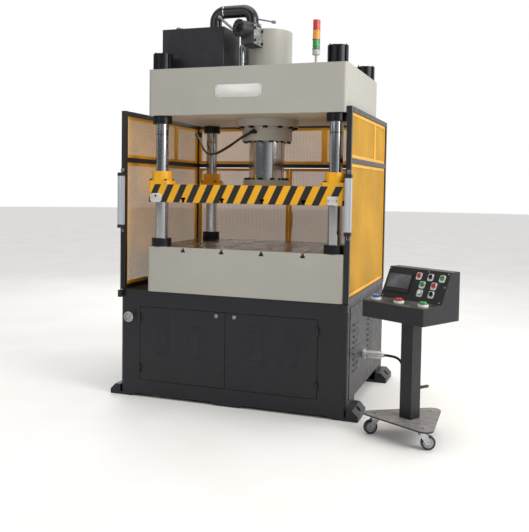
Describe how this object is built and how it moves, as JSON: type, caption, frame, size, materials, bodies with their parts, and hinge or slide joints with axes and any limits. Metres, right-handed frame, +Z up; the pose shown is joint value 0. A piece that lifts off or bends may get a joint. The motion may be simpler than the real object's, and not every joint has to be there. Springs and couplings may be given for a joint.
{
  "type": "hydraulic press",
  "caption": "Hydraulic press with a slide guided on columns, a black cabinet base, mesh guards, light curtains, a signal tower and a wheeled operator console.",
  "frame": {"origin": "middle of the four corner anchor holes, at floor level", "axes": "+Z up, +Y to the back, +X to the right seen from the front"},
  "size_m": [2.1467, 1.5385, 2.437],
  "materials": {
    "cabinet_paint": "satin",
    "gauge_steel": "polished",
    "black_metal": "satin",
    "frame_paint": "satin",
    "chrome": "polished",
    "valve_metal": "satin",
    "pipe_steel": "satin",
    "motor_paint": "satin",
    "tower_grey": "matte",
    "lens_green": "gloss",
    "lens_amber": "gloss",
    "lens_red": "gloss",
    "slide_yellow": "gloss",
    "guard_yellow": "satin",
    "curtain_grey": "satin",
    "cable_black": "matte",
    "black_plastic": "satin",
    "screen_black": "gloss",
    "button_red": "gloss",
    "button_green": "gloss",
    "button_white": "gloss",
    "button_blue": "gloss",
    "caster_steel": "polished",
    "caster_tread": "matte"
  },
  "bodies": {
    "base": {"cabinet": "cabinet_paint", "foot_pads": "cabinet_paint", "covers": "cabinet_paint", "gauge_case": "gauge_steel", "bed": "frame_paint", "columns": "chrome", "column_nuts": "black_metal", "crown": "frame_paint", "cylinder": "frame_paint", "cylinder_bolts": "black_metal", "oil_tank": "cabinet_paint", "suction_pipe": "black_metal", "filling_valve": "valve_metal", "oil_fittings": "pipe_steel", "power_unit": "motor_paint", "tower_stem": "tower_grey", "tower_green": "lens_green", "tower_amber": "lens_amber", "tower_red": "lens_red", "guard_frame": "cabinet_paint", "guard_panels": "guard_yellow", "light_curtains": "curtain_grey", "cable_glands": "black_plastic", "pressure_hose": "cable_black", "hose_fittings": "valve_metal", "console_box": "cabinet_paint", "console_screen": "screen_black", "console_stand": "cabinet_paint", "cable_socket": "tower_grey", "console_cable": "cable_black"},
    "slide": {"slide_plate": "slide_yellow", "guide_bushes": "slide_yellow", "slide_bolts": "black_metal", "piston_rod": "chrome", "rod_flange": "frame_paint"},
    "front_door_left": {"door_left": "cabinet_paint"},
    "front_door_right": {"door_right": "cabinet_paint"},
    "guard_door_left": {"rear_door_left": "guard_yellow", "rear_mesh_left": "guard_yellow", "rear_handle_left": "black_metal"},
    "guard_door_right": {"rear_door_right": "guard_yellow", "rear_mesh_right": "guard_yellow", "rear_handle_right": "black_metal"},
    "needle": {"gauge_needle": "black_metal"},
    "button_red_upper": {"button_red_upper": "button_red"},
    "selector_upper": {"selector_upper": "black_plastic"},
    "button_green_upper": {"button_green_upper": "button_green"},
    "button_green_middle": {"button_green_middle": "button_green"},
    "button_red_middle": {"button_red_middle": "button_red"},
    "button_white": {"button_white": "button_white"},
    "selector_lower": {"selector_lower": "black_plastic"},
    "palm_blue": {"palm_blue": "button_blue"},
    "emergency_stop": {"emergency_stop": "button_red"},
    "palm_green": {"palm_green": "button_green"},
    "caster_fork_left": {"caster_fork_left": "caster_steel"},
    "caster_wheel_left": {"caster_wheel_left": "caster_tread"},
    "caster_fork_right": {"caster_fork_right": "caster_steel"},
    "caster_wheel_right": {"caster_wheel_right": "caster_tread"},
    "caster_fork_rear": {"caster_fork_rear": "caster_steel"},
    "caster_wheel_rear": {"caster_wheel_rear": "caster_tread"}
  },
  "joints": [
    {"name": "slide_stroke", "type": "slide", "parent": "base", "child": "slide", "axis": [0, 0, 1], "range_m": [-0.21, 0.19]},
    {"name": "front_door_left_hinge", "type": "hinge", "parent": "base", "child": "front_door_left", "pos_m": [-0.5925, -0.567, 0.336], "axis": [0, 0, -1], "range_deg": [0, 110]},
    {"name": "front_door_right_hinge", "type": "hinge", "parent": "base", "child": "front_door_right", "pos_m": [0.5565, -0.567, 0.336], "axis": [0, 0, 1], "range_deg": [0, 110]},
    {"name": "guard_door_left_hinge", "type": "hinge", "parent": "base", "child": "guard_door_left", "pos_m": [-0.7, 0.567, 1.085], "axis": [0, 0, 1], "range_deg": [0, 110]},
    {"name": "guard_door_right_hinge", "type": "hinge", "parent": "base", "child": "guard_door_right", "pos_m": [0.7, 0.567, 1.085], "axis": [0, 0, -1], "range_deg": [0, 110]},
    {"name": "needle_turn", "type": "hinge", "parent": "base", "child": "needle", "pos_m": [-0.66, -0.568, 0.503], "axis": [0, 1, 0], "range_deg": [0, 270]},
    {"name": "button_red_upper_press", "type": "slide", "parent": "base", "child": "button_red_upper", "axis": [0.4489, 0.7774, -0.4406], "range_m": [0, 0.004], "stiffness_N_per_m": 600, "springref_m": -0.002},
    {"name": "selector_upper_turn", "type": "hinge", "parent": "base", "child": "selector_upper", "pos_m": [1.20069, -0.69973, 0.86717], "axis": [-0.4489, -0.7774, 0.4406], "range_deg": [-45, 45]},
    {"name": "button_green_upper_press", "type": "slide", "parent": "base", "child": "button_green_upper", "axis": [0.4489, 0.7774, -0.4406], "range_m": [0, 0.004], "stiffness_N_per_m": 600, "springref_m": -0.002},
    {"name": "button_green_middle_press", "type": "slide", "parent": "base", "child": "button_green_middle", "axis": [0.4489, 0.7774, -0.4406], "range_m": [0, 0.004], "stiffness_N_per_m": 600, "springref_m": -0.002},
    {"name": "button_red_middle_press", "type": "slide", "parent": "base", "child": "button_red_middle", "axis": [0.4489, 0.7774, -0.4406], "range_m": [0, 0.004], "stiffness_N_per_m": 600, "springref_m": -0.002},
    {"name": "button_white_press", "type": "slide", "parent": "base", "child": "button_white", "axis": [0.4489, 0.7774, -0.4406], "range_m": [0, 0.004], "stiffness_N_per_m": 600, "springref_m": -0.002},
    {"name": "selector_lower_turn", "type": "hinge", "parent": "base", "child": "selector_lower", "pos_m": [1.21051, -0.75271, 0.78368], "axis": [-0.4489, -0.7774, 0.4406], "range_deg": [-45, 45]},
    {"name": "palm_blue_press", "type": "slide", "parent": "base", "child": "palm_blue", "axis": [0.0205, 0.0356, -0.9992], "range_m": [0, 0.006], "stiffness_N_per_m": 800, "springref_m": -0.002},
    {"name": "emergency_stop_press", "type": "slide", "parent": "base", "child": "emergency_stop", "axis": [0.0205, 0.0356, -0.9992], "range_m": [0, 0.006]},
    {"name": "palm_green_press", "type": "slide", "parent": "base", "child": "palm_green", "axis": [0.0205, 0.0356, -0.9992], "range_m": [0, 0.006], "stiffness_N_per_m": 800, "springref_m": -0.002},
    {"name": "caster_swivel_left", "type": "hinge", "parent": "base", "child": "caster_fork_left", "pos_m": [0.922, -0.694, 0.09], "axis": [0, 0, 1], "continuous": true},
    {"name": "caster_roll_left", "type": "hinge", "parent": "caster_fork_left", "child": "caster_wheel_left", "pos_m": [0.9007, -0.70891, 0.0375], "axis": [0.5736, -0.8192, 0], "continuous": true},
    {"name": "caster_swivel_right", "type": "hinge", "parent": "base", "child": "caster_fork_right", "pos_m": [1.1995, -0.85421, 0.09], "axis": [0, 0, 1], "continuous": true},
    {"name": "caster_roll_right", "type": "hinge", "parent": "caster_fork_right", "child": "caster_wheel_right", "pos_m": [1.22393, -0.84532, 0.0375], "axis": [-0.342, 0.9397, 0], "continuous": true},
    {"name": "caster_swivel_rear", "type": "hinge", "parent": "base", "child": "caster_fork_rear", "pos_m": [1.1995, -0.53378, 0.09], "axis": [0, 0, 1], "continuous": true},
    {"name": "caster_roll_rear", "type": "hinge", "parent": "caster_fork_rear", "child": "caster_wheel_rear", "pos_m": [1.20623, -0.50867, 0.0375], "axis": [-0.9659, 0.2588, 0], "continuous": true}
  ]
}
